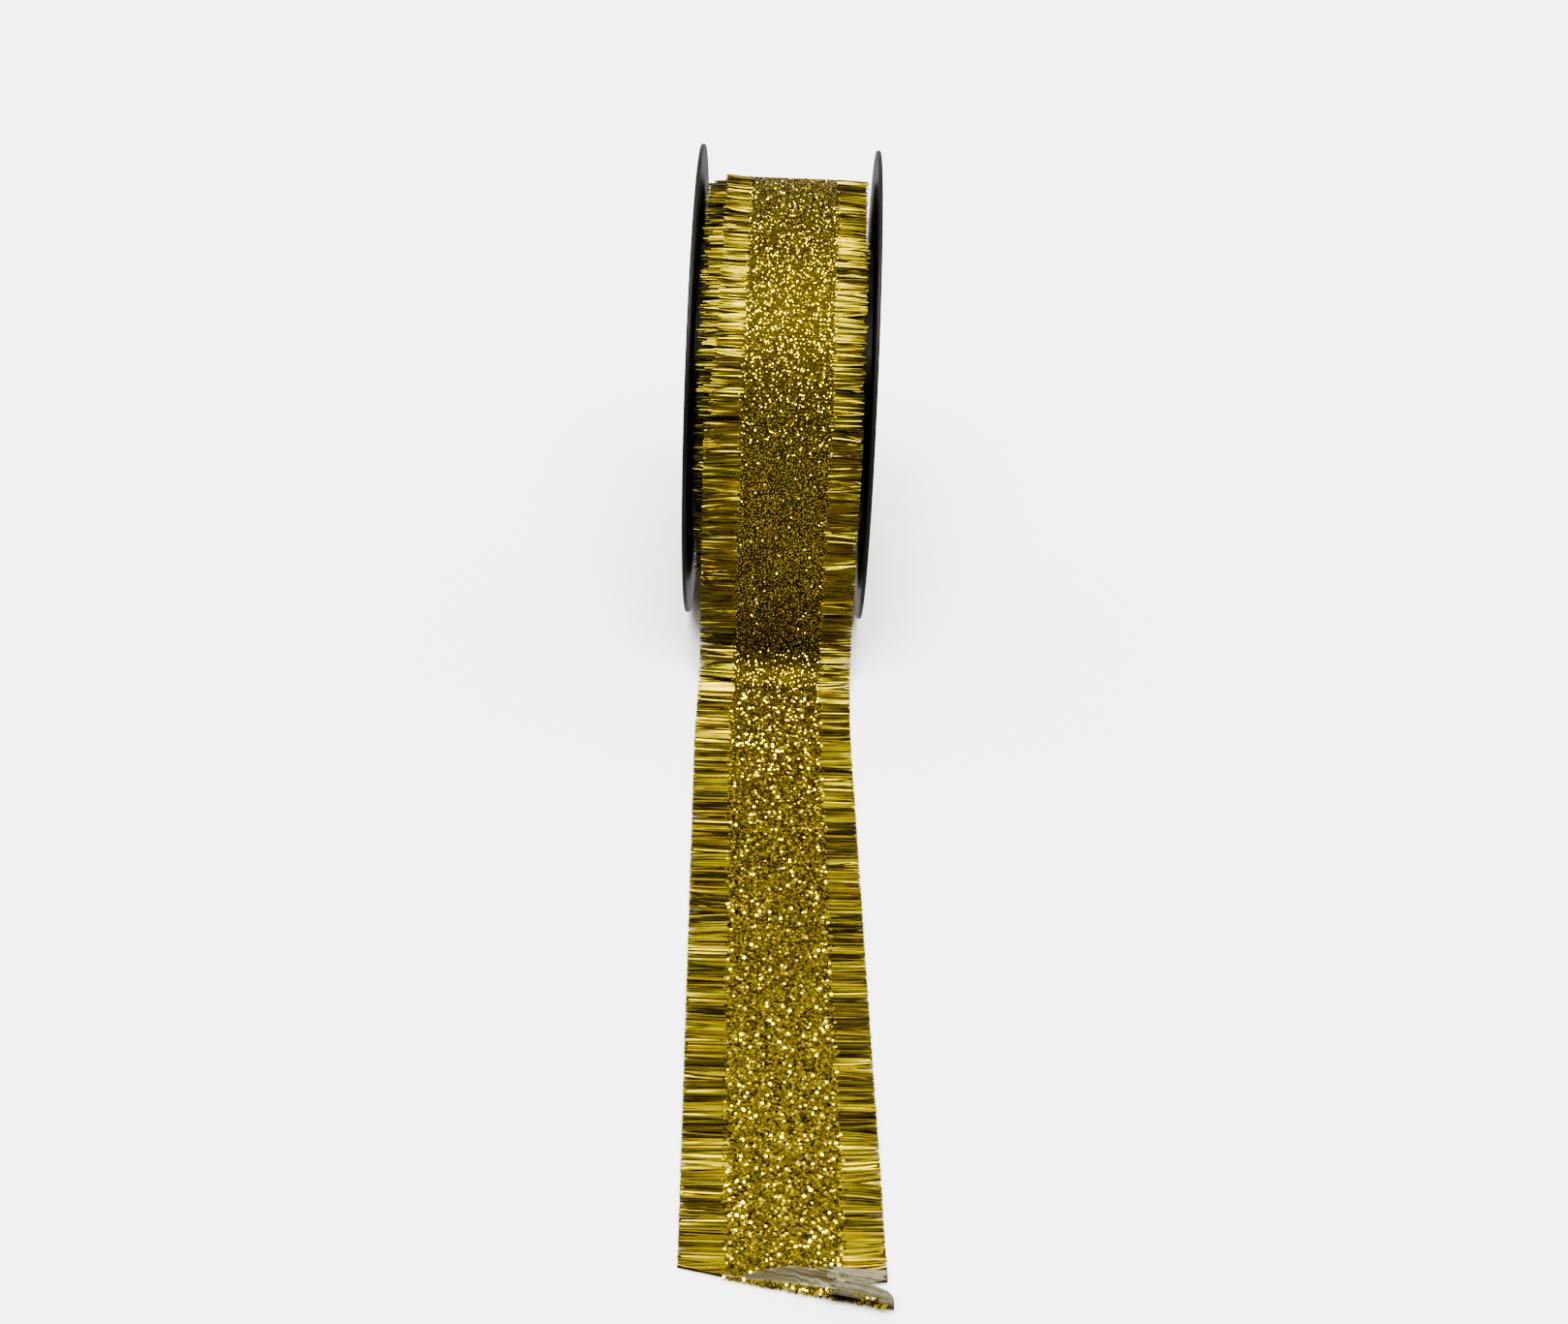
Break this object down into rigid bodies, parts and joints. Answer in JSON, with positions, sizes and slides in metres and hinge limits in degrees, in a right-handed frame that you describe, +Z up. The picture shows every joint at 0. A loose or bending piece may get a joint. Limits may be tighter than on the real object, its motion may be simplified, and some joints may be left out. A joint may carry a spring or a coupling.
{
  "type": "ribbon spool",
  "caption": "Flanged spool of fringed metallic glitter ribbon, standing on its rims, with a free strand of ribbon leading off the roll along the surface.",
  "frame": {"origin": "middle of the spindle bore, on the spool's axis", "axes": "+X along the spindle bore to the spool's right side, the free strand leads towards -Y, +Z up; the rims rest at the lowest Z"},
  "size_m": [0.0495, 0.3244, 0.12],
  "materials": {
    "black_plastic": "moulded, satin gloss",
    "barrel_plastic": "moulded, plain",
    "tape": "clear matt adhesive tape",
    "glitter_ribbon": "metallic gold weave covered with fine glitter, silver-grey on the back",
    "metallic_fringe": "loose flat metallic gold filaments"
  },
  "bodies": {
    "ribbon_end": {"ribbon_tail": "glitter_ribbon", "tail_fringe_left": "metallic_fringe", "tail_fringe_right": "metallic_fringe"},
    "spool": {"left_flange": "black_plastic", "right_flange": "black_plastic", "core_barrel": "barrel_plastic", "start_tape": "tape", "ribbon_roll": "glitter_ribbon", "roll_fringe_left": "metallic_fringe", "roll_fringe_right": "metallic_fringe"}
  },
  "joints": [
    {"name": "spool_turn", "type": "hinge", "parent": "ribbon_end", "child": "spool", "pos_m": [0, 0, 0], "axis": [1, 0, 0], "continuous": true}
  ]
}
